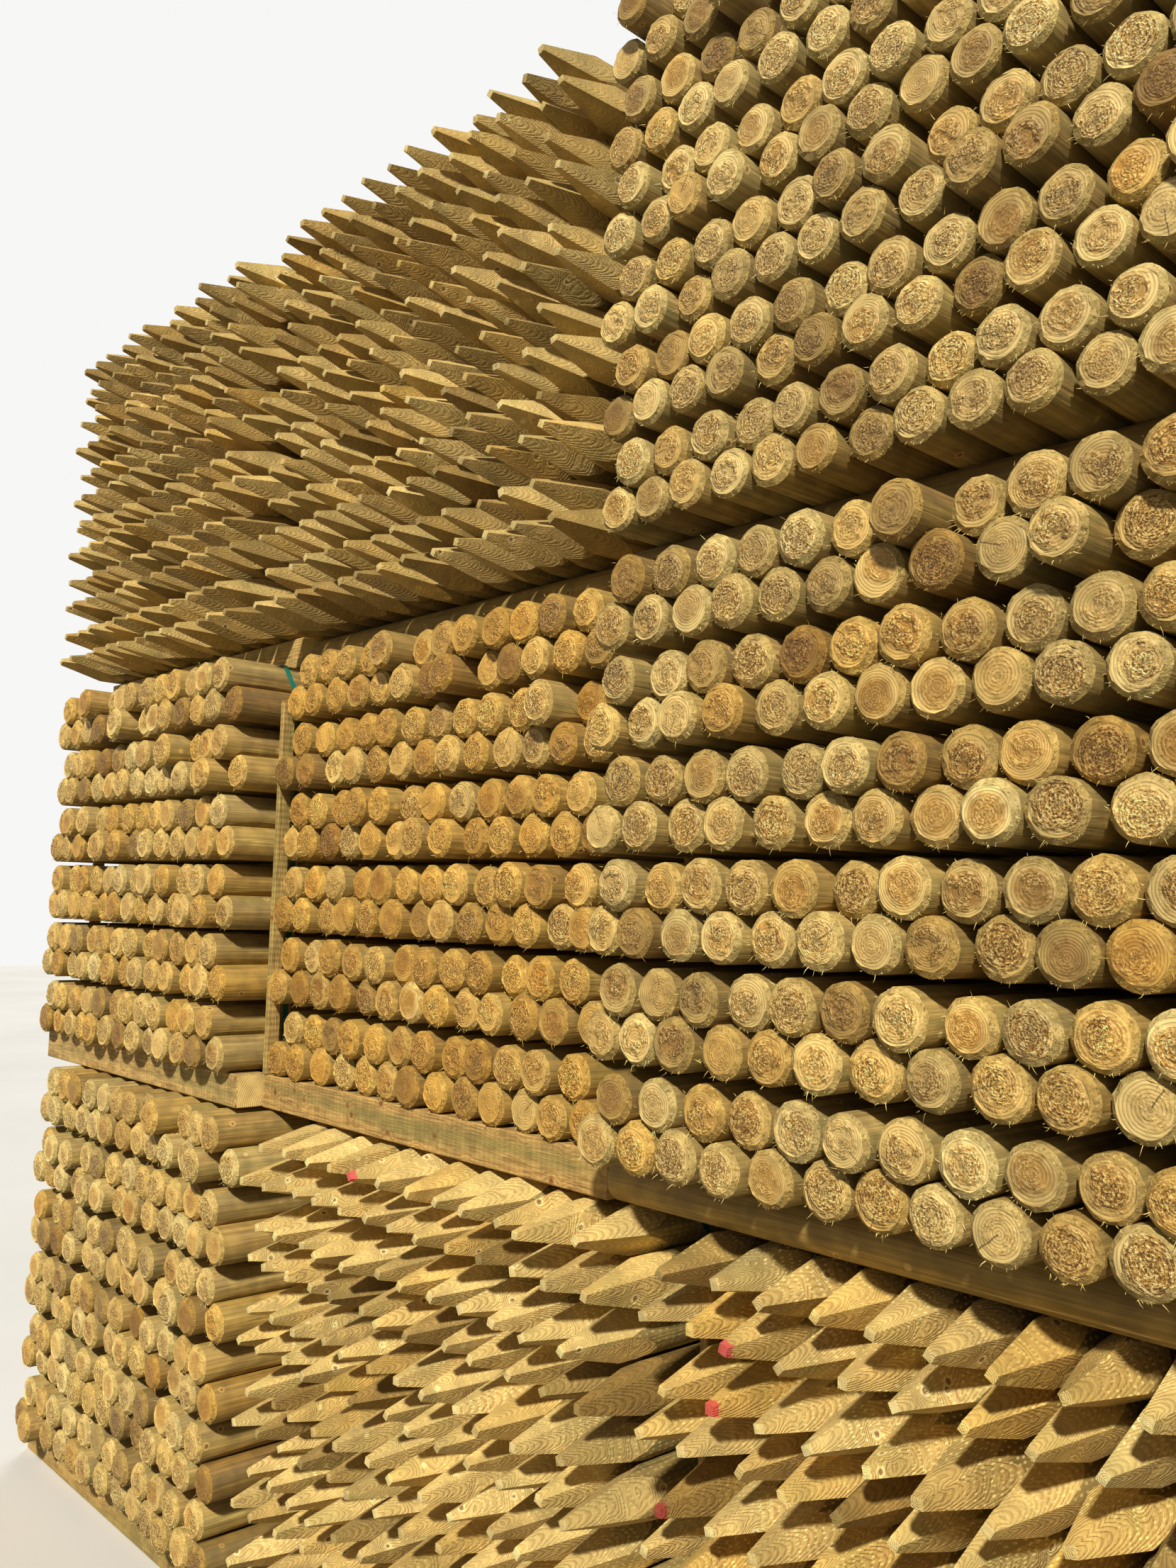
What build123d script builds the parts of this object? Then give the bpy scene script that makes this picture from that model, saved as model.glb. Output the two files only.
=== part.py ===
from build123d import *
import math
import os

# A stack of round timber posts: nine strapped packs, three high and three across.
# Millimetres, +Z up. The posts lie along Y, the viewer's side is -Y, and the
# origin is on the floor under the middle of the whole stack.

# The post: round, bevelled round its butt, and hewn to a four-sided point
POST_DIAMETER = 100.0
POST_LENGTH = 1800.0
POINT_LENGTH = 220.0
TIP_WIDTH = 18.0
RIM_WIDTH = 9.0
RIM_DEPTH = 8.0
POINT_TURNS = 6

# The pack: pairs of rows, the upper row lying in the hollows of the lower one
ROW_POSTS = 13
ROW_PAIRS = 6
SIDE_GAP = 2.0
LOOSE_GAP = 8.0
LOOSE_PLACES = 3
ROW_SHIFT = 6.0
END_SCATTER = 12.0
FAR_SCATTER = 28.0
SEAT_GAP = 0.3

# Thin laths lie across each pair and carry the next
LATH_THICKNESS = 10.0
LATH_WIDTH = 45.0
LATH_SETBACKS = (300.0, 900.0, 1440.0)

# Upright battens at the sides keep the straps off the posts
BATTEN_THICKNESS = 19.0
BATTEN_WIDTH = 38.0
BATTEN_OVERHANG = 12.0
STRAP_WIDTH = 16.0
STRAP_THICKNESS = 1.0
STRAP_BEND = 30.0
REAR_BUTT_STRAP_SETBACK = 300.0
REAR_POINT_STRAP_SETBACK = 245.0

# One pack has a loose batten too, standing on the front bearer at its left edge
LOOSE_BATTEN_PACK = "middle_centre"
LOOSE_BATTEN_SETBACK = 20.0

# Bearers carry each pack and leave the gap that a lifting fork goes into
BEARER_SIZE = 90.0
BEARER_OVERHANG = 16.0
BEARER_SETBACK = 65.0
COLUMN_GAP = 42.0

# Where the right-hand pack of each tier starts, along X
BOTTOM_START = 160.0
MIDDLE_START = 0.0
TOP_START = -88.0

# One pack: name, column (0 is the right-hand one), its end that faces the viewer and
# the Y of that end, the bearers' shape, and how far behind that end the front bearer
# and the front strap lie
BOTTOM_PACKS = (
    ("bottom_right", 0, "point", -13.0, "squared", 310.0, 245.0),
    ("bottom_centre", 1, "point", -33.0, "squared", 265.0, 325.0),
    ("bottom_left", 2, "butt", -49.0, "squared", 100.0, 280.0),
)
MIDDLE_PACKS = (
    ("middle_right", 0, "butt", 0.0, "round", 150.0, 330.0),
    ("middle_centre", 1, "butt", 115.0, "squared", 50.0, 300.0),
    ("middle_left", 2, "butt", -4.0, "squared", 95.0, 185.0),
)
TOP_PACKS = (
    ("top_right", 0, "butt", 88.0, "round", 162.0, 320.0),
    ("top_centre", 1, "point", 37.0, "round", 268.0, 340.0),
    ("top_left", 2, "point", 9.0, "squared", 268.0, 340.0),
)
TIERS = (
    (BOTTOM_START, BOTTOM_PACKS),
    (MIDDLE_START, MIDDLE_PACKS),
    (TOP_START, TOP_PACKS),
)

# What follows from the driving sizes
POST_RADIUS = POST_DIAMETER / 2
POST_PITCH = POST_DIAMETER + SIDE_GAP
ROW_SPAN = (ROW_POSTS - 1) * POST_PITCH + LOOSE_PLACES * LOOSE_GAP
NEST_REACH = POST_DIAMETER + SEAT_GAP
NEST_RISE = math.sqrt(NEST_REACH**2 - (POST_PITCH / 2) ** 2)
PAIR_HEIGHT = POST_DIAMETER + NEST_RISE
PAIR_RISE = PAIR_HEIGHT + LATH_THICKNESS + 2 * SEAT_GAP
PACK_HEIGHT = (ROW_PAIRS - 1) * PAIR_RISE + PAIR_HEIGHT
PACK_WIDTH = ROW_SPAN + POST_DIAMETER + ROW_SHIFT
TIER_RISE = BEARER_SIZE + PACK_HEIGHT + 2 * SEAT_GAP
COLUMN_RISE = PACK_WIDTH + COLUMN_GAP
GOLDEN = (math.sqrt(5) - 1) / 2
QUARTER_TURN = 90.0


def scatter(*numbers):
    """A fixed number from 0 to 1 that looks random and differs from post to post."""
    total = 0.0
    for place, number in enumerate(numbers):
        total += (number + 1) * (place + 1) * GOLDEN
    return (total * total + total) % 1.0


def loose_places(seed):
    """The gaps of a row that were left wider than the others, never its first or last."""
    step = (ROW_POSTS - 3) // LOOSE_PLACES
    return {1 + group * step + int(step * scatter(seed, group)) for group in range(LOOSE_PLACES)}


def lower_row(seed):
    """The X of each post of a pair's lower row, from the pack's left edge."""
    loose = loose_places(seed)
    x = POST_RADIUS + ROW_SHIFT * scatter(seed, ROW_POSTS)
    row = [x]
    for place in range(ROW_POSTS - 1):
        x += POST_PITCH + (LOOSE_GAP if place in loose else 0.0)
        row.append(x)
    return row


def upper_row(lower):
    """The X of each upper post, and its height over the lower row's middle."""
    row = []
    for left, right in zip(lower, lower[1:]):
        half = (right - left) / 2
        row.append((left + half, math.sqrt(NEST_REACH**2 - half**2)))
    return row


def pack_posts(pack_seed):
    """Each post of a pack as its X, its middle's Z, its row and its place there."""
    posts = []
    for pair in range(ROW_PAIRS):
        base = pair * PAIR_RISE + POST_RADIUS
        lower = lower_row(pack_seed * ROW_PAIRS + pair)
        posts += [(x, base, 2 * pair, place) for place, x in enumerate(lower)]
        for place, (x, rise) in enumerate(upper_row(lower)):
            posts.append((x, base + rise, 2 * pair + 1, place))
    return posts


def make_post(turn):
    """A post along +Y, butt at Y 0, its point's faces turned about its axis."""
    bevelled = Polyline(
        (0, 0),
        (POST_RADIUS - RIM_WIDTH, 0),
        (POST_RADIUS, RIM_DEPTH),
        (POST_RADIUS, POST_LENGTH),
        (0, POST_LENGTH),
        close=True,
    )
    post = revolve(make_face(bevelled), Axis.Y)
    slope = (POST_RADIUS - TIP_WIDTH / 2) / POINT_LENGTH
    spare = 6.0
    chip_side = POST_RADIUS + spare
    chip = Polyline(
        (TIP_WIDTH / 2 - spare * slope, POST_LENGTH + spare),
        (chip_side, POST_LENGTH - POINT_LENGTH - spare / slope),
        (chip_side, POST_LENGTH + spare),
        close=True,
    )
    wedge = extrude(make_face(chip), POST_DIAMETER, both=True)
    for quarter in range(4):
        post -= wedge.rotate(Axis.Y, turn + QUARTER_TURN * quarter)
    return post.solid()


def tangent_corner(centre, reach, touch, side, end):
    """Where a strap that leaves the batten's end and goes round a post meets the flat
    run above or below it. side is 1 at the right and -1 at the left, end 1 on top."""
    across = side * (touch[0] - centre[0])
    along = end * (touch[1] - centre[1])
    distance = math.hypot(across, along)
    angle = math.atan2(along, across) + math.acos(reach / distance)
    run = reach * (1 - math.sin(angle)) / math.cos(angle)
    return (centre[0] + side * run, centre[1] + end * reach)


def make_strap(posts, left_face, right_face, bottom, top):
    """A closed band round the pack and its side battens, in the XZ plane."""
    reach = POST_RADIUS + SEAT_GAP
    last = 2 * ROW_PAIRS - 1
    lower = [(x, z) for x, z, row, place in posts if row == 0]
    upper = [(x, z) for x, z, row, place in posts if row == last]
    out_left = left_face - SEAT_GAP
    out_right = right_face + SEAT_GAP
    inner = (
        tangent_corner(lower[0], reach, (out_left, bottom), -1, -1),
        tangent_corner(lower[-1], reach, (out_right, bottom), 1, -1),
        (out_right, bottom),
        (out_right, top),
        tangent_corner(upper[-1], reach, (out_right, top), 1, 1),
        tangent_corner(upper[0], reach, (out_left, top), -1, 1),
        (out_left, top),
        (out_left, bottom),
    )
    ring = make_face(Polyline(*inner, close=True))
    bends = [ring.vertices().sort_by_distance(inner[number])[0] for number in (0, 1, 4, 5)]
    ring = fillet(bends, STRAP_BEND)
    band = offset(ring, STRAP_THICKNESS, kind=Kind.INTERSECTION) - ring
    upright = Plane.XZ * band
    return extrude(upright, STRAP_WIDTH / 2, both=True).solid()


def make_bearer(shape):
    """A bearer along X from X 0, its middle at Z 0."""
    length = PACK_WIDTH + 2 * BEARER_OVERHANG
    if shape == "round":
        section = Circle(BEARER_SIZE / 2)
    else:
        section = Rectangle(BEARER_SIZE, BEARER_SIZE)
    return extrude(Plane.YZ * section, length).solid()


def place_packs():
    """Each pack as a dictionary of its name, its place, its straps' Y and its front
    bearer's Y."""
    packs = []
    for tier, (start, row) in enumerate(TIERS):
        for name, column, front, face, shape, bearer_setback, strap_setback in row:
            point_first = front == "point"
            last = REAR_BUTT_STRAP_SETBACK if point_first else REAR_POINT_STRAP_SETBACK
            packs.append(
                {
                    "name": name,
                    "tier": tier,
                    "seed": len(packs),
                    "left": start - column * COLUMN_RISE,
                    "face": face,
                    "front": front,
                    "bottom": BEARER_SIZE + SEAT_GAP + tier * TIER_RISE,
                    "straps": (face + strap_setback, face + POST_LENGTH - last),
                    "shape": shape,
                    "bearer": face + bearer_setback,
                }
            )
    return packs


def rear_bearer(pack, packs):
    """The Y of a pack's rear bearer: before its own rear strap and those it lies on."""
    rears = [pack["straps"][1]]
    for other in packs:
        beside = abs(other["left"] - pack["left"]) < PACK_WIDTH
        if other["tier"] == pack["tier"] - 1 and beside:
            rears.append(other["straps"][1])
    return min(rears) - BEARER_SETBACK


PACKS = place_packs()
POST_SHAPES = [make_post(QUARTER_TURN * number / POINT_TURNS) for number in range(POINT_TURNS)]
BEARER_SHAPES = {shape: make_bearer(shape) for shape in ("round", "squared")}


def build_posts(pack, posts):
    """The pack's posts, each turned about its axis and a little out of line."""
    solids = []
    for x, z, row, place in posts:
        shape = POST_SHAPES[int(POINT_TURNS * scatter(pack["seed"], row, place))]
        along = 2 * scatter(place, pack["seed"], row) - 1
        out = END_SCATTER * along + FAR_SCATTER * along**9
        at = Vector(pack["left"] + x, pack["face"] + out, pack["bottom"] + z)
        if pack["front"] == "butt":
            solids.append(shape.moved(Location(at)))
        else:
            solids.append(shape.moved(Location(at + Vector(0, POST_LENGTH, 0), (0, 0, 180))))
    return solids


def build_laths(pack, posts):
    """Thin laths across the pack, three over each pair but the top one."""
    solids = []
    thickness = LATH_THICKNESS
    for pair in range(ROW_PAIRS - 1):
        above = [x for x, z, row, place in posts if row == 2 * pair + 2]
        middle = (above[0] + above[-1]) / 2
        z = pair * PAIR_RISE + PAIR_HEIGHT + SEAT_GAP + thickness / 2
        for setback in LATH_SETBACKS:
            at = Vector(pack["left"] + middle, pack["face"] + setback, pack["bottom"] + z)
            solids.append(Box(ROW_SPAN, LATH_WIDTH, thickness).solid().moved(Location(at)))
    return solids


def build_battens_and_straps(pack, posts):
    """Upright battens at both sides of each strap, and the straps round them."""
    lower = [(x, z) for x, z, row, place in posts if row % 2 == 0]
    bottom = min(z for x, z in lower) - BATTEN_OVERHANG
    top = max(z for x, z in lower) + BATTEN_OVERHANG
    left_face = min(x for x, z in lower) - POST_RADIUS - SEAT_GAP - BATTEN_THICKNESS
    right_face = max(x for x, z in lower) + POST_RADIUS + SEAT_GAP + BATTEN_THICKNESS
    strap = make_strap(posts, left_face, right_face, bottom, top)
    batten = Box(BATTEN_THICKNESS, BATTEN_WIDTH, top - bottom).solid()
    middle_z = (bottom + top) / 2
    battens = []
    straps = []
    for y in pack["straps"]:
        corner = Vector(pack["left"], y, pack["bottom"])
        straps.append(strap.moved(Location(corner)))
        for x in (left_face + BATTEN_THICKNESS / 2, right_face - BATTEN_THICKNESS / 2):
            battens.append(batten.moved(Location(corner + Vector(x, 0, middle_z))))
    if pack["name"] == LOOSE_BATTEN_PACK:
        x = left_face + BATTEN_THICKNESS / 2
        at = Vector(pack["left"] + x, pack["face"] + LOOSE_BATTEN_SETBACK, pack["bottom"] + top / 2)
        battens.append(Box(BATTEN_THICKNESS, BATTEN_WIDTH, top).solid().moved(Location(at)))
    return battens, straps


def build_bearers(pack):
    """The pack's front and rear bearer."""
    solids = []
    shape = BEARER_SHAPES[pack["shape"]]
    for y in (pack["bearer"], rear_bearer(pack, PACKS)):
        z = pack["bottom"] - SEAT_GAP - BEARER_SIZE / 2
        at = Vector(pack["left"] - BEARER_OVERHANG, y, z)
        solids.append(shape.moved(Location(at)))
    return solids


def build_nodes():
    """Every node's name and its solids."""
    nodes = {}
    for pack in PACKS:
        name = pack["name"]
        posts = pack_posts(pack["seed"])
        battens, straps = build_battens_and_straps(pack, posts)
        front, rear = build_bearers(pack)
        nodes["posts_" + name] = build_posts(pack, posts)
        nodes["laths_" + name] = build_laths(pack, posts)
        nodes["battens_" + name] = battens
        nodes["straps_" + name] = straps
        nodes["bearer_front_" + name] = [front]
        nodes["bearer_rear_" + name] = [rear]
    return nodes


def middle_of(solids):
    """The middle of the solids' common box, on the floor."""
    boxes = [solid.bounding_box() for solid in solids]
    x = (min(box.min.X for box in boxes) + max(box.max.X for box in boxes)) / 2
    y = (min(box.min.Y for box in boxes) + max(box.max.Y for box in boxes)) / 2
    return Vector(x, y, 0)


os.makedirs("parts", exist_ok=True)
NODES = build_nodes()
TO_ORIGIN = Location(-middle_of([solid for solids in NODES.values() for solid in solids]))
for name, solids in NODES.items():
    moved = [solid.moved(TO_ORIGIN) for solid in solids]
    shape = moved[0] if len(moved) == 1 else Compound(children=moved)
    export_step(shape, f"parts/{name}.step")
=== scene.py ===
"""Dresses a stack of round timber posts, nine strapped packs on their bearers."""
import math

import bpy
import numpy as np
from bpy.props import FloatProperty, FloatVectorProperty, IntProperty, PointerProperty
from mathutils import Matrix, Vector


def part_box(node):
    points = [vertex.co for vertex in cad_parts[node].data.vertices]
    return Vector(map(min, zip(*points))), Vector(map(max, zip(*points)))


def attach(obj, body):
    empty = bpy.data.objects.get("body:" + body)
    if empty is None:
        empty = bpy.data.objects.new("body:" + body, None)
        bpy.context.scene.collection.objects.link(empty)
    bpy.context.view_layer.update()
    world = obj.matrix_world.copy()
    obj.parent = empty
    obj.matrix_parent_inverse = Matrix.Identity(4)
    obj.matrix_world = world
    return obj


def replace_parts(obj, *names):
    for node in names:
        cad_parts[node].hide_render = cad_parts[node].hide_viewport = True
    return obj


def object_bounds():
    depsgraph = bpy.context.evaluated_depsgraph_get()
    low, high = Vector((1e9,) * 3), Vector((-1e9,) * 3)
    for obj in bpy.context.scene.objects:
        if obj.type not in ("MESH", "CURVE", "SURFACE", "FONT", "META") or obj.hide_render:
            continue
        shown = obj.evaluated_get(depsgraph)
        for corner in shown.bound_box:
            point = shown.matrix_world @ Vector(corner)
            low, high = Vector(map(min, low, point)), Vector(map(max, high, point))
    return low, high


bl_info = {
    "name": "Timber Post Stack",
    "version": (1, 0, 0),
    "blender": (4, 5, 0),
    "location": "View3D > Sidebar > Post Stack",
    "description": "Round timber posts in strapped packs on bearers, with their wood and straps",
    "category": "Object",
}

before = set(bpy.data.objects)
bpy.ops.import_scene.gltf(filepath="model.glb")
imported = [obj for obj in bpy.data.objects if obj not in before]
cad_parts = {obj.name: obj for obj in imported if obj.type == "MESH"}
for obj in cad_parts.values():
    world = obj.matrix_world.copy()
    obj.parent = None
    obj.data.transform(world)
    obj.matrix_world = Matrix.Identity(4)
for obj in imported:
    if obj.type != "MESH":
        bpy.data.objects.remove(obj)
CAD_BOX = np.array(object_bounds())
PACKS = sorted(name[len("posts_"):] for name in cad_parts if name.startswith("posts_"))

# One post in metres, as the model has it
POST_RADIUS = 0.050
POST_LENGTH = 1.8
POINT_LENGTH = 0.22
TIP_WIDTH = 0.018
RIM_WIDTH = 0.009
RIM_DEPTH = 0.008

# How each pack's wood differs: how bright and how warm it is, how plainly its incising shows,
# and the share of its tips that marking paint was dabbed on
PACK_LOOKS = {
    "bottom_right": (0.93, 0.18, 1.0, 0.03),
    "bottom_centre": (0.92, 0.0, 0.6, 0.01),
    "bottom_left": (0.88, 0.30, 0.0, 0.0),
    "middle_right": (0.66, 0.25, 0.0, 0.0),
    "middle_centre": (0.72, 0.85, 0.0, 0.0),
    "middle_left": (0.90, 0.50, 0.0, 0.0),
    "top_right": (0.66, 0.0, 0.0, 0.0),
    # The two top packs of points are set darker than the rest: painted shade for the shade they lie in
    "top_centre": (0.60, 0.05, 0.25, 0.0),
    "top_left": (0.50, 0.10, 0.25, 0.0),
}

# How bright and how warm the other timbers are. A brightness over 1 leaves most pieces as
# bright as they can be
ROUND_BEARER_LOOKS = (1.2, 0.0)
SQUARED_BEARER_LOOKS = (0.88, 0.12)
BATTEN_LOOKS = (0.78, 0.3)

# How far a piece's own brightness and warmth stray from these, the share of pieces that are
# made much darker, and how bright these may be
BRIGHTNESS_SPREAD = 0.23
WARMTH_SPREAD = 0.27
DARKENED_SHARE = 0.08
DARKENED_BRIGHTEST = 0.25

# How far in metres the pith lies from a timber's middle. Sawn timber is cut from beside it
ROUND_BEARER_PITH = 0.008
SQUARED_BEARER_PITH = 0.07
BATTEN_PITH = 0.06

# The largest share of the light that any wood gives back
PALEST_WOOD = 0.92

# How far apart in metres the knots lie, and the incising nicks along a post and round it
KNOTS_APART = 0.075
NICKS_APART = 0.019
NICK_ROWS_APART = 0.010

# What the scattering starts from, and how many different torn fibres are modelled
POST_SEED = 7
BEARER_SEED = 11
BATTEN_SEED = 13
SLIVER_SHAPES = 6

# Corner points in the same 0.05 mm are one point: how many such steps make a metre
STEPS_PER_METRE = 20000

# A squared timber's solid has this many corner points, and a round one's has more
BOX_CORNERS = 8

# The floor's side and how far the camera sees, in metres
FLOOR_SIZE = 60.0
CAMERA_REACH = 100.0

# The camera: its place in metres from the lowest corner of the bearer under the right-hand
# middle pack, how far left of +Y it looks, how far up and how far it is tilted, all three in
# degrees, and its focal length in pixels of a picture 2212 high
CAMERA_FROM = "bearer_front_middle_right"
CAMERA_PLACE = (1.879, -1.802, 0.5792)
CAMERA_TURN = 47.46
CAMERA_RISE = 5.39
CAMERA_TILT = 1.64
CAMERA_FOCAL = 1822.0
PICTURE_HEIGHT = 2212
SENSOR = 36.0

# The lights: the directions that the key and the back light come from, their strength and
# their spread in degrees, and the fill's strength
KEY_FROM = (0.42, -0.62, 0.67)
KEY_STRENGTH = 4.4
KEY_SPREAD = 4.0
BACK_FROM = (-0.75, 0.80, 0.45)
BACK_STRENGTH = 1.8
BACK_SPREAD = 25.0
FILL_STRENGTH = 0.14


def linear(code):
    """A colour written as sRGB hex, as the linear colour that a shader takes."""
    parts = [int(code[place:place + 2], 16) / 255 for place in (1, 3, 5)]
    return [part / 12.92 if part <= 0.04045 else ((part + 0.055) / 1.055) ** 2.4 for part in parts]


def colour_property(name, code, description):
    """A colour that the user can change."""
    return FloatVectorProperty(
        name=name, subtype="COLOR", size=3, min=0.0, max=1.0,
        default=linear(code), description=description,
    )


def length_property(name, metres, description):
    """A length that the user can change."""
    return FloatProperty(
        name=name, default=metres, min=0.0, max=0.2, subtype="DISTANCE", unit="LENGTH",
        description=description,
    )


class PostStackSizes(bpy.types.PropertyGroup):
    """The sizes and counts of what dresses the stack."""

    sides: IntProperty(name="Sides", default=24, min=12, max=64,
                       description="Flats round each post")
    shapes: IntProperty(name="Shapes", default=12, min=1, max=24,
                        description="How many different posts are modelled before they are copied")
    thinnest: FloatProperty(name="Thinnest post", default=0.93, min=0.8, max=1.0,
                            description="The thinnest post's share of the full diameter")
    cut_tilt: FloatProperty(name="Cut tilt", default=math.radians(2.2), min=0.0,
                            max=math.radians(6), subtype="ANGLE",
                            description="How far out of square a butt may be sawn")
    rim_wander: length_property("Rim wander", 0.0014, "How far the rim strays from a true circle")
    pith_wander: length_property("Pith wander", 0.009, "How far the pith lies from a post's middle")
    slivers: IntProperty(name="Slivers", default=18, min=0, max=60,
                         description="Torn fibres left on each butt's rim")
    sliver_length: length_property("Sliver length", 0.0055, "Length of a usual torn fibre")
    sliver_width: length_property("Sliver width", 0.0009, "Width of a torn fibre at its root")
    sawn_edge: length_property("Sawn edge", 0.0025, "The worn edge of sawn timber")


class PostStackColours(bpy.types.PropertyGroup):
    """The colours of the wood, the straps and the floor."""

    sap: colour_property("Sapwood", "#E6CD88", "The pale outer wood on a sawn butt")
    heart: colour_property("Heart", "#A57C36", "The brown middle of a sawn butt")
    torn: colour_property("Torn wood", "#CC9A40", "The golden wood under torn fibres")
    # Partly the torn fibres' own pale colour and partly a painted highlight: on butts and bevels it
    # stands in for light glinting on torn fibres
    fleck: colour_property("Torn fibre", "#FDEAA8", "Fibres that the saw tore up")
    # Painted shade: it darkens the hollows between torn fibres, the fuzz of a bevel and the drying cracks
    pit: colour_property("Pit", "#4C2B07", "The dark between torn fibres")
    late: colour_property("Late wood", "#8F642C", "The dark line of a growth ring")
    rim: colour_property("Rim", "#B29C5C", "The bevel round a butt")
    side: colour_property("Side", "#AE9455", "The machined side of a post")
    side_dark: colour_property("Side streak", "#6E5226", "Late wood along a post's side")
    green: colour_property("Treatment", "#8A824A", "The green cast of pressure treatment")
    point: colour_property("Point", "#D8BC76", "A hewn face of a point")
    nick: colour_property("Incising nick", "#F6E6A2", "The pale nicks that let the treatment in")
    knot: colour_property("Knot", "#7A4526", "A knot's core")
    dab: colour_property("Dab", "#D4605C", "Marking paint on a few tips")
    sawn: colour_property("Sawn timber", "#CBAA6A", "The sawn face of a bearer, batten or lath")
    strap: colour_property("Strap", "#0E7465", "The plastic strap")
    floor: colour_property("Floor", "#D9D6CF", "The plain floor")
    floor_cloud: colour_property("Floor cloud", "#CFCCC5", "The floor's faint unevenness")
    floor_dim: colour_property("Floor dimmed", "#6E6A62", "The floor, in the light that it throws back")
    background: colour_property("Background", "#F7F7F6", "What shows behind the stack")
    fill: colour_property("Fill light", "#EFF7FF", "The light from all round")
    key: colour_property("Key light", "#FFF9EF", "The light from the front right")


# Materials


def add(tree, kind, inputs=None, stops=None, **settings):
    """A node with its settings; each input is a number, a colour or another node's output."""
    node = tree.nodes.new("ShaderNode" + kind)
    for name, value in settings.items():
        setattr(node, name, value)
    for name, value in (inputs or {}).items():
        if isinstance(value, bpy.types.NodeSocket):
            tree.links.new(value, node.inputs[name])
        elif node.inputs[name].type == "RGBA" and len(value) == 3:
            node.inputs[name].default_value = (*value, 1.0)
        else:
            node.inputs[name].default_value = value
    if stops:
        elements = node.color_ramp.elements
        while len(elements) < len(stops):
            elements.new(1.0)
        for element, (place, level) in zip(elements, stops):
            element.position = place
            element.color = (level, level, level, 1.0)
    return node


def calculate(tree, operation, *values):
    """The output of a Math node."""
    return add(tree, "Math", dict(enumerate(values)), operation=operation).outputs[0]


def remap(tree, value, low, high, to_low=0.0, to_high=1.0):
    """A value's place between low and high, as a value from to_low to to_high."""
    return add(tree, "MapRange", {"Value": value, "From Min": low, "From Max": high,
                                  "To Min": to_low, "To Max": to_high}).outputs[0]


def blend(tree, share, one, other):
    """The colour one, with its share of the colour other."""
    return add(tree, "MixRGB", {0: share, 1: one, 2: other}).outputs[0]


def noise(tree, place, scale, detail=2.0, roughness=0.5):
    """A noise from 0 to 1 whose grain is 1 / scale metres across."""
    return add(tree, "TexNoise", {"Vector": place, "Scale": scale, "Detail": detail,
                                  "Roughness": roughness}).outputs["Fac"]


def new_material(name):
    """A new material, its tree and its shader."""
    material = bpy.data.materials.new(name)
    material.use_nodes = True
    tree = material.node_tree
    tree.nodes.clear()
    shader = add(tree, "BsdfPrincipled")
    add(tree, "OutputMaterial", {"Surface": shader.outputs[0]})
    return material, tree, shader


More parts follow.
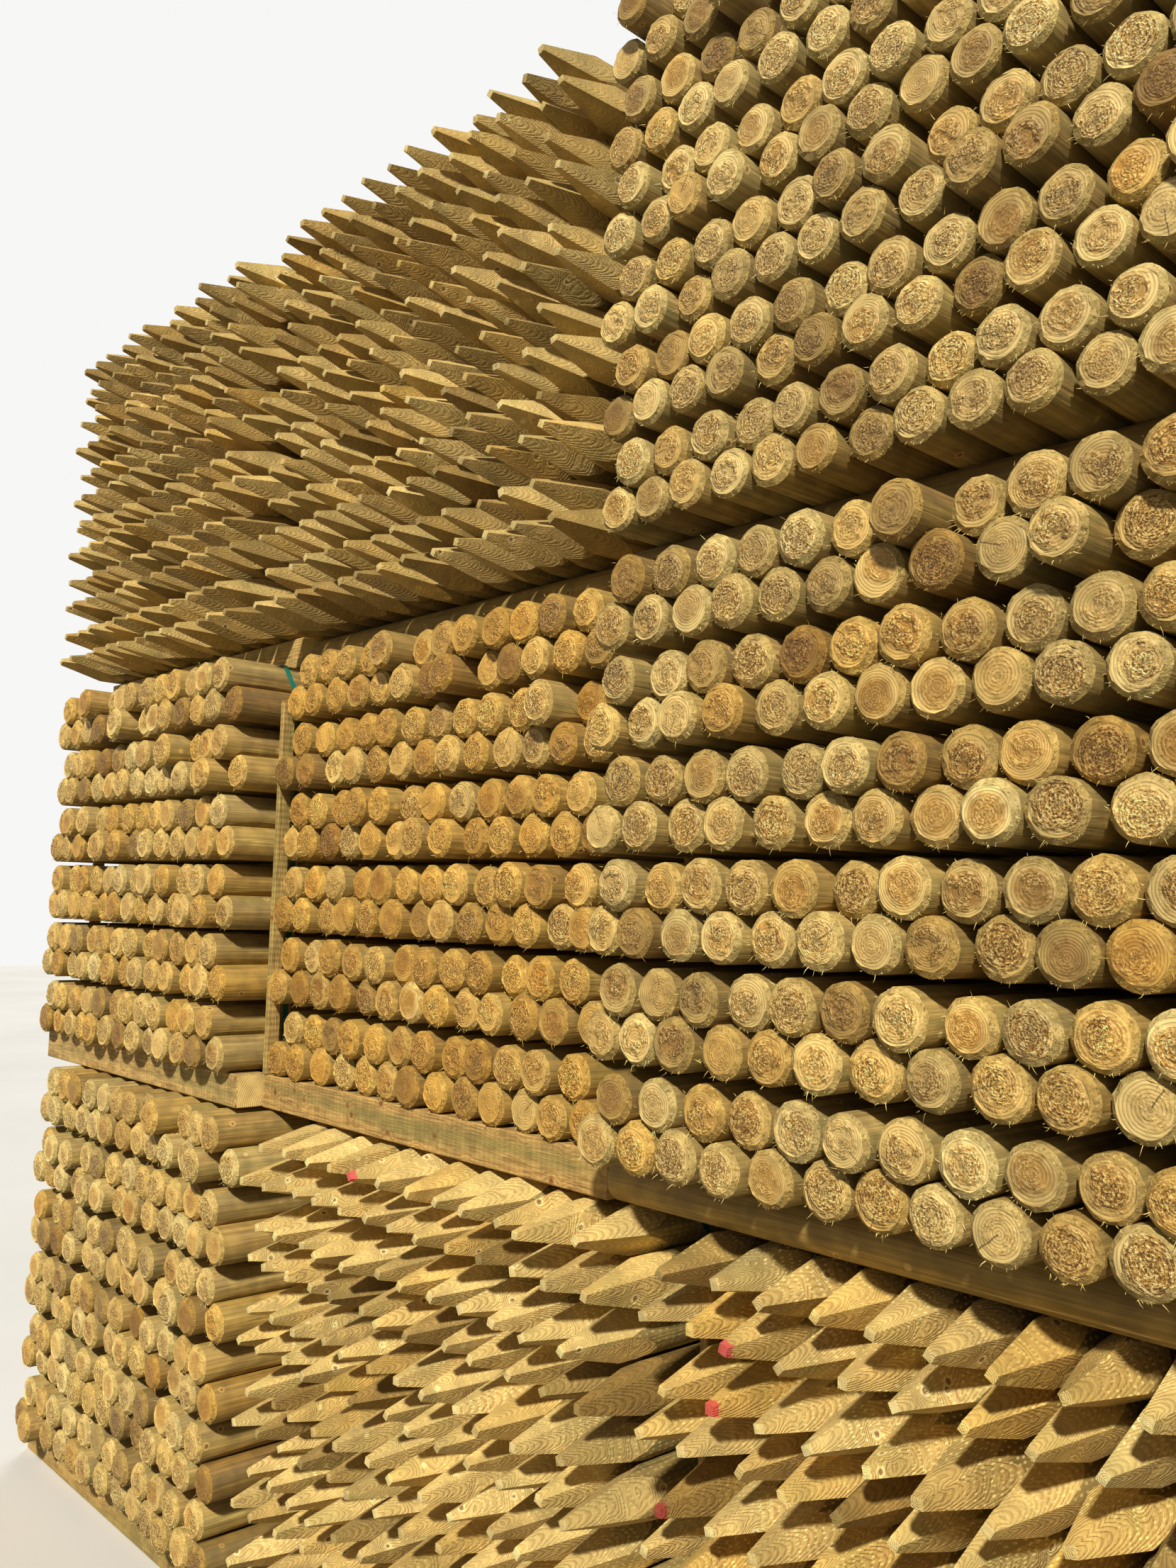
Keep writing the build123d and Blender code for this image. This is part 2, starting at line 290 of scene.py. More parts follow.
class Wood:
    """A new material's tree with what the patterns of one piece of wood start from: places
    inside the piece, places that differ from piece to piece, and the piece's own numbers."""

    def __init__(self, name):
        self.material, self.tree, self.shader = new_material(name)
        tree = self.tree
        self.grain = add(tree, "Attribute", attribute_name="grain").outputs["Vector"]
        tone = add(tree, "Attribute", attribute_name="tone").outputs["Vector"]
        mark = add(tree, "Attribute", attribute_name="mark").outputs["Vector"]
        self.level, self.warmth, self.roughness = add(tree, "SeparateXYZ", {0: tone}).outputs
        self.incised, self.dabbed, self.turn = add(tree, "SeparateXYZ", {0: mark}).outputs
        self.apart = add(tree, "VectorMath", {0: tone, 1: (31.0, 57.0, 23.0)},
                         operation="MULTIPLY").outputs[0]
        self.own = add(tree, "VectorMath", {0: self.apart, 1: self.grain}).outputs[0]
        self.across = add(tree, "VectorMath", {0: self.grain, 1: (1.0, 0.0, 1.0)},
                          operation="MULTIPLY").outputs[0]
        self.from_pith = add(tree, "VectorMath", {0: self.across},
                             operation="LENGTH").outputs["Value"]
        self.x, self.along, self.z = add(tree, "SeparateXYZ", {0: self.grain}).outputs

    def knots(self):
        """How near the nearest knot is, in metres."""
        cells = add(self.tree, "TexVoronoi", {"Vector": self.own, "Scale": 1 / KNOTS_APART})
        return calculate(self.tree, "MULTIPLY", cells.outputs["Distance"], KNOTS_APART)

    def rings(self, spacing, wander, knots=None):
        """Growth rings: their distance from the pith, and 1 on each dark line of late wood.
        They wander as real ones do, and bend round the knots."""
        tree = self.tree
        bend = calculate(tree, "SUBTRACT", noise(tree, self.own, 14.0, 2.0), 0.5)
        distance = calculate(tree, "MULTIPLY_ADD", bend, wander, self.from_pith)
        if knots is not None:
            near = remap(tree, knots, 0.030, 0.004, 0.0, 0.012)
            distance = calculate(tree, "ADD", distance, near)
        gap = remap(tree, self.turn, 0.0, 1.0, spacing * 0.75, spacing * 1.3)
        phase = calculate(tree, "FRACT", calculate(tree, "DIVIDE", distance, gap))
        line = add(tree, "ValToRGB", {0: phase},
                   stops=((0.0, 0.25), (0.12, 0.0), (0.45, 0.12), (0.80, 0.95), (0.93, 1.0), (1.0, 0.25)))
        return distance, line.outputs[0]

    def along_rings(self, distance, width, length):
        """Torn fibre that follows the growth rings, from 0 to 1: tufts of the given width,
        and of the given length where they lie 25 mm from the pith."""
        tree = self.tree
        about = add(tree, "VectorMath", {0: self.across}, operation="NORMALIZE").outputs[0]
        about = add(tree, "VectorMath", {0: about, "Scale": 0.025 / length}, operation="SCALE")
        outwards = add(tree, "CombineXYZ", {1: calculate(tree, "DIVIDE", distance, width)})
        place = add(tree, "VectorMath", {0: about.outputs[0], 1: outwards.outputs[0]})
        place = add(tree, "VectorMath", {0: place.outputs[0], 1: self.apart})
        return noise(tree, place.outputs[0], 1.0, 3.0, 0.6)

    def knotted(self, colour, knots, dark, pale):
        """The colour with each knot's dark core and the paler wood round it."""
        tree = self.tree
        halo = remap(tree, knots, 0.011, 0.008, 0.0, 0.75)
        core = remap(tree, knots, 0.0065, 0.0045, 0.0, 0.85)
        return blend(tree, core, blend(tree, halo, colour, pale), dark)

    def nicked(self, colour, nick):
        """The colour with rows of nicks. They reach deep, so a hewn face loses them only
        towards the tip."""
        tree = self.tree
        # Each is 9 mm by 4 mm, wider than a real one so that it shows from two metres
        angle = calculate(tree, "ARCTAN2", self.z, self.x)
        round_it = calculate(tree, "MULTIPLY", angle, POST_RADIUS / NICK_ROWS_APART)
        round_it = calculate(tree, "MULTIPLY_ADD", self.turn, 37.0, round_it)
        along = calculate(tree, "MULTIPLY", self.along, 1 / NICKS_APART)
        place = add(tree, "CombineXYZ", {0: round_it, 1: along}).outputs[0]
        cells = add(tree, "TexVoronoi", {"Vector": place, "Scale": 1.0, "Randomness": 0.35},
                    voronoi_dimensions="2D")
        spot = remap(tree, cells.outputs["Distance"], 0.25, 0.19)
        deep = remap(tree, self.from_pith, 0.022, 0.030)
        broken = remap(tree, noise(tree, self.own, 60.0, 1.0), 0.30, 0.42)
        share = calculate(tree, "MULTIPLY", calculate(tree, "MULTIPLY", spot, deep), broken)
        return blend(tree, calculate(tree, "MULTIPLY", share, self.incised), colour, nick)

    def golden(self, pale, dark):
        """The pale colour, turned towards the dark one in warmer wood."""
        return blend(self.tree, calculate(self.tree, "MULTIPLY", self.warmth, 0.5), pale, dark)

    def finish(self, colour, low, high, height, depth, roughness):
        """Tints the colour, sets its level piece by piece and in patches 40 mm across, partly
        the wood's own tone and partly a painted sheen, keeps it under the palest that wood can
        be, and adds the relief."""
        tree = self.tree
        tint = blend(tree, self.warmth, (1.0, 1.0, 0.97), (1.0, 0.83, 0.44))
        # Darker wood is browner too
        level = blend(tree, self.level, (low, low * 0.85, low * 0.56), (high, high, high))
        tinted = add(tree, "VectorMath", {0: colour, 1: tint}, operation="MULTIPLY").outputs[0]
        tinted = add(tree, "VectorMath", {0: tinted, 1: level}, operation="MULTIPLY").outputs[0]
        # Brighter and darker patches: partly the wood's own tone and partly a painted sheen
        patches = remap(tree, noise(tree, self.own, 24.0, 1.0), 0.35, 0.65, 0.82, 1.12)
        shade = add(tree, "VectorMath", {0: tinted, "Scale": patches}, operation="SCALE").outputs[0]
        shade = add(tree, "VectorMath", {0: shade, 1: (PALEST_WOOD,) * 3},
                    operation="MINIMUM").outputs[0]
        bump = add(tree, "Bump", {"Height": height, "Distance": depth, "Strength": 1.0})
        tree.links.new(shade, self.shader.inputs["Base Color"])
        tree.links.new(bump.outputs[0], self.shader.inputs["Normal"])
        self.shader.inputs["Roughness"].default_value = roughness
        return self.material


def make_saw_cut_softwood(colours):
    """Treated softwood, cross cut by a coarse saw: pale sapwood round a brown heart, with
    growth rings where the cut is clean and torn fibres where it is rough, with painted
    highlights on the fibres, and painted shade between them and in its cracks."""
    wood = Wood("saw_cut_softwood")
    tree = wood.tree
    # Rings a good 5 mm apart, wider than most, so that they show from two metres
    distance, line = wood.rings(0.0052, 0.008)
    # The heart ends 24 to 38 mm from the pith. Its edge strays by up to 13 mm in waves 17 mm
    # long, and it is browner in some posts than in others
    edge = calculate(tree, "SUBTRACT", noise(tree, wood.own, 60.0, 3.0), 0.5)
    reach = calculate(tree, "MULTIPLY_ADD", edge, 0.026, distance)
    brown = calculate(tree, "FRACT", calculate(tree, "MULTIPLY", wood.turn, 7.31))
    heart = remap(tree, reach, 0.024, 0.038, 1.0, 0.0)
    shade = calculate(tree, "MULTIPLY", heart, remap(tree, brown, 0.0, 1.0, 0.15, 1.0))
    colour = blend(tree, shade, wood.golden(colours.sap, colours.heart), colours.heart)
    # The saw's teeth tore up tufts, most of them along the rings: 3.4 mm wide and 8 mm long,
    # a third more than their real size so that they show from two metres. Loose ones are 4 mm
    # across
    ringed_tufts = wood.along_rings(distance, 0.0034, 0.008)
    loose_tufts = noise(tree, wood.own, 260.0, 2.0, 0.6)
    torn = calculate(tree, "MULTIPLY_ADD", ringed_tufts, 0.6,
                     calculate(tree, "MULTIPLY", loose_tufts, 0.4))
    # They stand in patches 30 mm across inside the heart, and on most of the roughest butts'
    # face
    patch = remap(tree, noise(tree, wood.own, 32.0, 2.0), 0.34, 0.52)
    spread = remap(tree, wood.roughness, 0.50, 0.85)
    inside = remap(tree, reach, 0.033, 0.043, 1.0, 0.0)
    where = calculate(tree, "MAXIMUM", calculate(tree, "MULTIPLY", patch, heart),
                      calculate(tree, "MULTIPLY", spread, inside))
    rough = calculate(tree, "MULTIPLY", where, remap(tree, wood.roughness, 0.05, 0.45, 0.3, 1.0))
    ringed = calculate(tree, "MULTIPLY", line, remap(tree, rough, 0.0, 1.0, 0.50, 0.25))
    colour = blend(tree, ringed, colour, colours.late)
    colour = blend(tree, calculate(tree, "MULTIPLY", rough, 0.6), colour, colours.torn)
    # A drying crack in about one butt in seven, from the pith outwards, 1 to 2 mm wide
    angle = calculate(tree, "MULTIPLY", wood.turn, 40.0)
    turned = add(tree, "VectorRotate", {"Vector": wood.grain, "Angle": angle}, rotation_type="Y_AXIS")
    turned = add(tree, "SeparateXYZ", {0: turned.outputs[0]}).outputs
    side = calculate(tree, "ABSOLUTE", calculate(tree, "MULTIPLY_ADD", edge, 0.006, turned[0]))
    outwards = remap(tree, turned[2], 0.0, 0.004)
    crack = calculate(tree, "MULTIPLY", remap(tree, side, 0.0012, 0.0005), outwards)
    crack = calculate(tree, "MULTIPLY", crack, remap(tree, brown, 0.15, 0.14))
    # The crack's dark is painted shade inside it
    colour = blend(tree, calculate(tree, "MULTIPLY", crack, 0.6), colour, colours.pit)
    # Painted highlights on the tops of the torn fibres, and painted shade in the hollows between them
    light = calculate(tree, "MULTIPLY", remap(tree, torn, 0.52, 0.57), rough)
    dark = calculate(tree, "MULTIPLY", remap(tree, torn, 0.49, 0.42), rough)
    colour = blend(tree, calculate(tree, "MULTIPLY", light, 0.95), colour, colours.fleck)
    colour = blend(tree, calculate(tree, "MULTIPLY", dark, 0.85), colour, colours.pit)
    height = calculate(tree, "MULTIPLY_ADD", torn, calculate(tree, "MAXIMUM", rough, 0.08),
                       calculate(tree, "MULTIPLY", line, -0.04))
    height = calculate(tree, "SUBTRACT", height, calculate(tree, "MULTIPLY", crack, 0.2))
    return wood.finish(colour, 0.50, 1.32, height, 0.011, 0.62)


def make_bevelled_softwood(colours):
    """The bevel that a rounding cutter leaves at a butt: fuzzy fibres, greenish with the
    treatment and worn pale in patches."""
    wood = Wood("bevelled_softwood")
    tree = wood.tree
    # Fuzz 3 mm wide, coarser than real so that it shows, and patches 20 mm across
    fuzz = wood.along_rings(wood.from_pith, 0.0030, 0.003)
    patch = remap(tree, noise(tree, wood.own, 50.0, 2.0), 0.35, 0.65)
    outer = wood.golden(colours.rim, colours.heart)
    colour = blend(tree, calculate(tree, "MULTIPLY", patch, 0.6), outer, colours.sap)
    # Painted shade in the hollows of the fuzz and painted highlights on its fibres
    colour = blend(tree, remap(tree, fuzz, 0.44, 0.34, 0.0, 0.6), colour, colours.pit)
    colour = blend(tree, remap(tree, fuzz, 0.58, 0.68, 0.0, 0.6), colour, colours.fleck)
    return wood.finish(colour, 0.58, 1.06, fuzz, 0.003, 0.9)


def make_machine_rounded_softwood(colours):
    """Machine-rounded softwood: long streaks of late wood, knots and a thin green cast."""
    wood = Wood("machine_rounded_softwood")
    tree = wood.tree
    knots = wood.knots()
    # Streaks 8 mm wide and 240 mm long, and stains 33 mm wide and nearly a metre long
    stretched = add(tree, "VectorMath", {0: wood.own, 1: (1.0, 0.035, 1.0)}, operation="MULTIPLY")
    streaks = noise(tree, stretched.outputs[0], 120.0, 4.0, 0.6)
    stains = noise(tree, stretched.outputs[0], 30.0, 2.0)
    colour = blend(tree, remap(tree, streaks, 0.42, 0.66, 0.0, 0.6), colours.side, colours.side_dark)
    colour = blend(tree, remap(tree, stains, 0.42, 0.66, 0.0, 0.55), colour, colours.green)
    colour = blend(tree, remap(tree, streaks, 0.40, 0.30, 0.0, 0.5), colour, colours.point)
    colour = wood.knotted(colour, knots, colours.knot, colours.point)
    colour = wood.nicked(colour, colours.nick)
    return wood.finish(colour, 0.46, 0.98, streaks, 0.003, 0.72)


def make_hewn_softwood(colours):
    """A hewn face: it cuts the rings at a slant, which draws them out into long arches. The
    tip's end is pale, and a few tips were dabbed with marking paint."""
    wood = Wood("hewn_softwood")
    tree = wood.tree
    knots = wood.knots()
    # Rings 3 mm apart, fibres 6 mm across, and stains 80 mm across. The rings are fainter in
    # patches 60 mm across
    line = wood.rings(0.0030, 0.005, knots)[1]
    fibres = noise(tree, wood.own, 160.0, 3.0, 0.6)
    plain = remap(tree, noise(tree, wood.own, 16.0, 1.0), 0.35, 0.65, 0.52, 0.22)
    stains = noise(tree, wood.own, 12.0, 2.0)
    colour = blend(tree, calculate(tree, "MULTIPLY", line, plain), colours.point, colours.late)
    colour = blend(tree, remap(tree, stains, 0.45, 0.70, 0.0, 0.5), colour, colours.green)
    colour = wood.knotted(colour, knots, colours.knot, colours.nick)
    colour = wood.nicked(colour, colours.nick)
    # The tip's end is the last 2 mm, and paint covers the last 15 mm, with a ragged edge
    end = remap(tree, wood.along, POST_LENGTH - 0.0025, POST_LENGTH - 0.0010, 0.0, 0.4)
    colour = blend(tree, end, colour, colours.fleck)
    reach = calculate(tree, "MULTIPLY_ADD", calculate(tree, "SUBTRACT", fibres, 0.5), 0.03, wood.along)
    painted = remap(tree, reach, POST_LENGTH - 0.015, POST_LENGTH - 0.012)
    dab = calculate(tree, "MULTIPLY", painted, wood.dabbed)
    colour = blend(tree, dab, colour, colours.dab)
    height = calculate(tree, "MULTIPLY_ADD", line, -0.35, fibres)
    return wood.finish(colour, 0.46, 1.24, height, 0.0025, 0.78)


def make_rough_sawn_softwood(colours):
    """Rough sawn softwood: the grain of a plank, the saw's marks across it and a few knots."""
    wood = Wood("rough_sawn_softwood")
    tree = wood.tree
    knots = wood.knots()
    # Rings 6 mm apart, fibres 4 mm wide and 80 mm long, and stains 40 mm wide and 0.8 m long
    line = wood.rings(0.0060, 0.012, knots)[1]
    stretched = add(tree, "VectorMath", {0: wood.own, 1: (1.0, 0.05, 1.0)}, operation="MULTIPLY")
    fibres = noise(tree, stretched.outputs[0], 260.0, 3.0, 0.6)
    stains = noise(tree, stretched.outputs[0], 25.0, 3.0)
    colour = blend(tree, calculate(tree, "MULTIPLY", line, 0.55), colours.sawn, colours.late)
    colour = blend(tree, remap(tree, fibres, 0.45, 0.65, 0.0, 0.5), colour, colours.side_dark)
    colour = blend(tree, remap(tree, stains, 0.42, 0.62, 0.0, 0.7), colour, colours.green)
    colour = wood.knotted(colour, knots, colours.knot, colours.late)
    # A band saw's marks are 3 to 10 mm apart. They are drawn 17 mm apart, so that they show
    marks = add(tree, "TexWave", {"Vector": wood.own, "Scale": 18.0, "Distortion": 1.5},
                bands_direction="Y").outputs["Fac"]
    height = calculate(tree, "MULTIPLY_ADD", marks, 0.35, fibres)
    return wood.finish(colour, 0.66, 1.18, height, 0.0025, 0.85)


def make_torn_softwood(colours):
    """Torn fibres of dry softwood: nearly white, thin and dull."""
    wood = Wood("torn_softwood")
    # The colour changes every 11 mm, so from fibre to fibre, and the relief every 2 mm
    colour = blend(wood.tree, noise(wood.tree, wood.own, 90.0), colours.sap, colours.fleck)
    fibres = noise(wood.tree, wood.own, 500.0)
    return wood.finish(colour, 0.9, 1.25, fibres, 0.0005, 0.9)


def make_embossed_polyester(colours):
    """Polyester strapping: extruded and embossed, smooth and slightly glossy, in teal."""
    material, tree, shader = new_material("embossed_polyester")
    place = add(tree, "TexCoord").outputs["Object"]
    # The embossed waffle is 2 mm across, too fine to show, so it is drawn at 4 mm
    waffle = noise(tree, place, 250.0, 1.0)
    # Dust lies in patches 80 mm across
    dust = remap(tree, noise(tree, place, 12.0, 3.0), 0.45, 0.75, 0.0, 0.3)
    colour = blend(tree, dust, colours.strap, colours.green)
    bump = add(tree, "Bump", {"Height": waffle, "Distance": 0.0006, "Strength": 0.5})
    tree.links.new(colour, shader.inputs["Base Color"])
    tree.links.new(bump.outputs[0], shader.inputs["Normal"])
    shader.inputs["Roughness"].default_value = 0.35
    shader.inputs["IOR"].default_value = 1.57
    return material


def looked_at(tree):
    """1 for what is seen straight, in gloss or through something clear, and 0 for the light
    that it gives to others."""
    ray = add(tree, "LightPath").outputs
    seen = calculate(tree, "ADD", ray["Is Camera Ray"], ray["Is Glossy Ray"])
    return calculate(tree, "MINIMUM", calculate(tree, "ADD", seen, ray["Is Transmission Ray"]), 1.0)


def make_matt_floor_paint(colours):
    """A matt painted studio floor with the faintest unevenness. It looks pale, but throws
    little light up under the stack."""
    material, tree, shader = new_material("matt_floor_paint")
    place = add(tree, "TexCoord").outputs["Object"]
    # Clouds 1.7 m across
    cloud = noise(tree, place, 0.6, 3.0)
    colour = blend(tree, remap(tree, cloud, 0.3, 0.7), colours.floor, colours.floor_cloud)
    colour = blend(tree, looked_at(tree), colours.floor_dim, colour)
    tree.links.new(colour, shader.inputs["Base Color"])
    shader.inputs["Roughness"].default_value = 0.9
    return material


def shared_material(make, colours):
    """The material that a function makes and is named after, made only once."""
    name = make.__name__[len("make_"):]
    return bpy.data.materials.get(name) or make(colours)


# Making and copying shapes


def activate(obj):
    """Only this object selected and active."""
    bpy.ops.object.select_all(action="DESELECT")
    obj.select_set(True)
    bpy.context.view_layer.objects.active = obj


def select(mesh, mode, test):
    """In edit mode afterwards, with only the vertices or faces that pass the test selected."""
    bpy.ops.object.mode_set(mode="EDIT")
    bpy.ops.mesh.select_mode(type=mode)
    bpy.ops.mesh.select_all(action="DESELECT")
    bpy.ops.object.mode_set(mode="OBJECT")
    for element in mesh.vertices if mode == "VERT" else mesh.polygons:
        element.select = bool(test(element))
    bpy.ops.object.mode_set(mode="EDIT")


def new_shape(add_primitive, **settings):
    """A primitive, alone selected, with its place applied."""
    bpy.ops.object.select_all(action="DESELECT")
    add_primitive(**settings)
    obj = bpy.context.active_object
    activate(obj)
    bpy.ops.object.transform_apply(location=True, rotation=True, scale=True)
    return obj


def take_shape(obj, slot_of):
    """The object's points, faces, slots and smoothness. The object is deleted."""
    mesh = obj.data
    shape = {
        "points": np.array([vertex.co[:] for vertex in mesh.vertices]),
        "faces": [list(face.vertices) for face in mesh.polygons],
        "slots": [slot_of(face) for face in mesh.polygons],
        "smooth": [bool(face.use_smooth) for face in mesh.polygons],
    }
    bpy.data.objects.remove(obj)
    bpy.data.meshes.remove(mesh)
    return shape


def join_copies(name, copies, materials):
    """One piece of many copies. Each copy is a shape, its placed points, the places inside
    the wood that go with them, and the piece of wood's own tone and mark."""
    faces, slots, smooth = [], [], []
    start = 0
    for shape, placed, grain, tone, mark in copies:
        faces += [[start + corner for corner in face] for face in shape["faces"]]
        slots += shape["slots"]
        smooth += shape["smooth"]
        start += len(placed)
    # What dresses the stack stays inside the CAD model's box
    points = np.clip(np.concatenate([copy[1] for copy in copies]), CAD_BOX[0], CAD_BOX[1])
    mesh = bpy.data.meshes.new(name)
    mesh.from_pydata(points.tolist(), [], faces)
    mesh.polygons.foreach_set("material_index", slots)
    mesh.polygons.foreach_set("use_smooth", smooth)
    values = {
        "grain": np.concatenate([copy[2] for copy in copies]),
        "tone": np.concatenate([np.tile(copy[3], (len(copy[1]), 1)) for copy in copies]),
        "mark": np.concatenate([np.tile(copy[4], (len(copy[1]), 1)) for copy in copies]),
    }
    for attribute, rows in values.items():
        layer = mesh.attributes.new(attribute, "FLOAT_VECTOR", "POINT")
        layer.data.foreach_set("vector", rows.astype(np.float32).ravel())
    for material in materials:
        mesh.materials.append(material)
    mesh.update()
    obj = bpy.data.objects.new(name, mesh)
    bpy.context.collection.objects.link(obj)
    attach(obj, "root")
    return obj


def turn_about_length(angle):
    """The matrix that turns points about the Y axis."""
    return np.array(Matrix.Rotation(angle, 3, "Y"))


def closed_solids(node):
    """The corner points of each closed solid of a CAD node."""
    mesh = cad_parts[node].data
    points = np.empty(len(mesh.vertices) * 3, dtype=np.float32)
    mesh.vertices.foreach_get("co", points)
    mesh.calc_loop_triangles()
    triangles = np.empty(len(mesh.loop_triangles) * 3, dtype=np.int32)
    mesh.loop_triangles.foreach_get("vertices", triangles)
    keys = np.round(points.reshape(-1, 3).astype(float) * STEPS_PER_METRE).astype(np.int64)
    unique, merged = np.unique(keys, axis=0, return_inverse=True)
    triangles = merged.ravel()[triangles].reshape(-1, 3)
    labels = np.arange(len(unique))
    before = None
    while before is None or not np.array_equal(before, labels):
        before = labels.copy()
        lowest = labels[triangles].min(axis=1)
        for corner in range(3):
            np.minimum.at(labels, triangles[:, corner], lowest)
        labels = labels[labels]
    return [unique[labels == label] / STEPS_PER_METRE for label in np.unique(labels)]


def read_posts(pack):
    """Where each post of a pack lies: its axis, its butt's and its tip's Y, and the turn of
    its point's faces."""
    posts = []
    for points in closed_solids("posts_" + pack):
        low, high = points.min(axis=0), points.max(axis=0)
        axis = np.array([(low[0] + high[0]) / 2, (low[2] + high[2]) / 2])
        ends = []
        for y in (low[1], high[1]):
            corners = points[np.abs(points[:, 1] - y) < 0.0005][:, (0, 2)] - axis
            reach = np.hypot(corners[:, 0], corners[:, 1])
            ends.append((reach.max(), y, corners[reach.argmax()]))
        tip, butt = sorted(ends, key=lambda end: end[0])
        corner = tip[2]
        posts.append((axis[0], axis[1], butt[1], tip[1], math.atan2(corner[1], corner[0])))
    return posts


# The posts

SIDE, BUTT, RIM, POINT = range(4)


def post_face(face):
    """Which of the post's finishes a face has, by the way that it faces."""
    if face.normal.y < -0.97:
        return BUTT
    if face.normal.y < -0.2:
        return RIM
    return POINT if face.normal.y > 0.05 else SIDE


def model_post(sizes, dice):
    """One post along +Y with its butt at Y 0, cut from a round bar: a bevel round the butt
    and four flat cuts to the tip."""
    obj = new_shape(bpy.ops.mesh.primitive_cylinder_add, vertices=sizes.sides, radius=POST_RADIUS,
                    depth=POST_LENGTH, location=(0, POST_LENGTH / 2, 0), rotation=(math.pi / 2, 0, 0))
    mesh = obj.data
    select(mesh, "FACE", lambda face: face.normal.y < -0.9)
    rim = RIM_WIDTH * dice.uniform(0.85, 1.25)
    bpy.ops.mesh.inset(thickness=rim)
    inner = POST_RADIUS - rim / 2
    select(mesh, "VERT", lambda at: at.co.y < 1e-5 and math.hypot(at.co.x, at.co.z) > inner)
    bpy.ops.transform.translate(value=(0, RIM_DEPTH * dice.uniform(0.85, 1.3), 0))
    select(mesh, "VERT", lambda at: at.co.y < 2 * RIM_DEPTH)
    bpy.ops.transform.vertex_random(offset=sizes.rim_wander, uniform=1.0, seed=int(dice.integers(99)))
    bpy.ops.transform.rotate(value=dice.uniform(-1, 1) * sizes.cut_tilt, orient_axis="X",
                             center_override=(0, 0, 0))
    slope = (POST_RADIUS - TIP_WIDTH / 2) / POINT_LENGTH
    for quarter in range(4):
        angle = quarter * math.pi / 2
        side = Vector((math.cos(angle), 0, math.sin(angle)))
        bpy.ops.mesh.select_all(action="SELECT")
        bpy.ops.mesh.bisect(
            plane_co=side * TIP_WIDTH / 2 * dice.uniform(0.8, 1.15) + Vector((0, POST_LENGTH, 0)),
            plane_no=side + Vector((0, slope, 0)), use_fill=True, clear_outer=True,
        )
    bpy.ops.object.mode_set(mode="OBJECT")
    for face in mesh.polygons:
        face.use_smooth = abs(face.normal.y) < 0.02
    return take_shape(obj, post_face)


def model_sliver(dice):
    """A torn fibre 1 long and 1 thick at its root, along +Y, curling to a point."""
    obj = new_shape(bpy.ops.mesh.primitive_cone_add, vertices=3, radius1=0.5, radius2=0.4, depth=0.5,
                    location=(0, 0.25, 0), rotation=(-math.pi / 2, 0, 0))
    mesh = obj.data
    select(mesh, "FACE", lambda face: face.normal.y > 0.9)
    bpy.ops.mesh.extrude_region_move(TRANSFORM_OT_translate={
        "value": (dice.uniform(-1.0, 1.0), 0.5, dice.uniform(0.3, 2.5))})
    bpy.ops.mesh.merge(type="CENTER")
    bpy.ops.object.mode_set(mode="OBJECT")
    return take_shape(obj, lambda face: 0)


def own_tone(dice, brightness, warmth):
    """A piece of wood's level, warmth and roughness."""
    level = np.clip(dice.normal(brightness, BRIGHTNESS_SPREAD), 0, 1)
    # A share of the pieces is made much darker
    if dice.random() < DARKENED_SHARE:
        level = dice.uniform(0.0, DARKENED_BRIGHTEST)
    return level, np.clip(warmth + dice.normal(0, WARMTH_SPREAD), 0, 1), dice.random()


def sliver_copies(shapes, sizes, dice, centre, radius, outwards, tone):
    """Torn fibres round a butt's rim, most of them at its lower edge."""
    copies = []
    for number in range(sizes.slivers):
        angle = dice.normal(-math.pi / 2, 1.3)
        out = np.array([math.cos(angle), 0, math.sin(angle)])
        root = centre + out * (radius - dice.uniform(0.0, 0.6) * RIM_WIDTH)
        root[1] -= outwards * dice.uniform(0.0, 1.0) * RIM_DEPTH
        towards = out * dice.uniform(0.4, 1.2) + (0, outwards * dice.uniform(0.1, 1.0), 0)
        towards += dice.normal(0, 0.35, 3)
        towards /= np.linalg.norm(towards)
        side = np.cross(towards, dice.normal(0, 1, 3))
        side /= np.linalg.norm(side)
        axes = np.stack([side, towards, np.cross(side, towards)])
        shape = shapes[dice.integers(len(shapes))]
        length = sizes.sliver_length * min(dice.exponential(0.8) + 0.25, 3.0)
        width = sizes.sliver_width * dice.uniform(0.6, 1.4)
        placed = root + (shape["points"] * (width, length, width)) @ axes
        copies.append((shape, placed, placed, tone, (0, 0, 0)))
    return copies


def pack_copies(pack, shapes, sliver_shapes, sizes):
    """Every post of a pack, turned about its axis and moved to its place, and the torn
    fibres on its butt."""
    dice = np.random.default_rng(sum(map(ord, pack)))
    brightness, warmth, incised, dabbed = PACK_LOOKS[pack]
    posts, slivers = [], []
    for axis_x, axis_z, butt_y, tip_y, turn in read_posts(pack):
        shape = shapes[dice.integers(len(shapes))]
        thinner = 1 - (1 - sizes.thinnest) * dice.random() ** 1.5
        forward = 1 if tip_y > butt_y else -1
        angle = forward * (math.pi / 4 - turn) + dice.integers(4) * math.pi / 2
        placed = (shape["points"] * (thinner, 1, thinner)) @ turn_about_length(angle).T
        # A thinner post lies as much deeper in its hollow
        centre = np.array([axis_x, butt_y, axis_z - (1 - thinner) * POST_RADIUS])
        placed = placed * (forward, forward, 1) + centre
        pith = dice.normal(0, sizes.pith_wander / 2, 2)
        grain = shape["points"] + (pith[0], 0, pith[1])
        tone = own_tone(dice, brightness, warmth)
        mark = (incised * dice.uniform(0.4, 1.0), float(dice.random() < dabbed), dice.random())
        posts.append((shape, placed, grain, tone, mark))
        slivers += sliver_copies(sliver_shapes, sizes, dice, centre, POST_RADIUS * thinner,
                                 -forward, tone)
    return posts, slivers


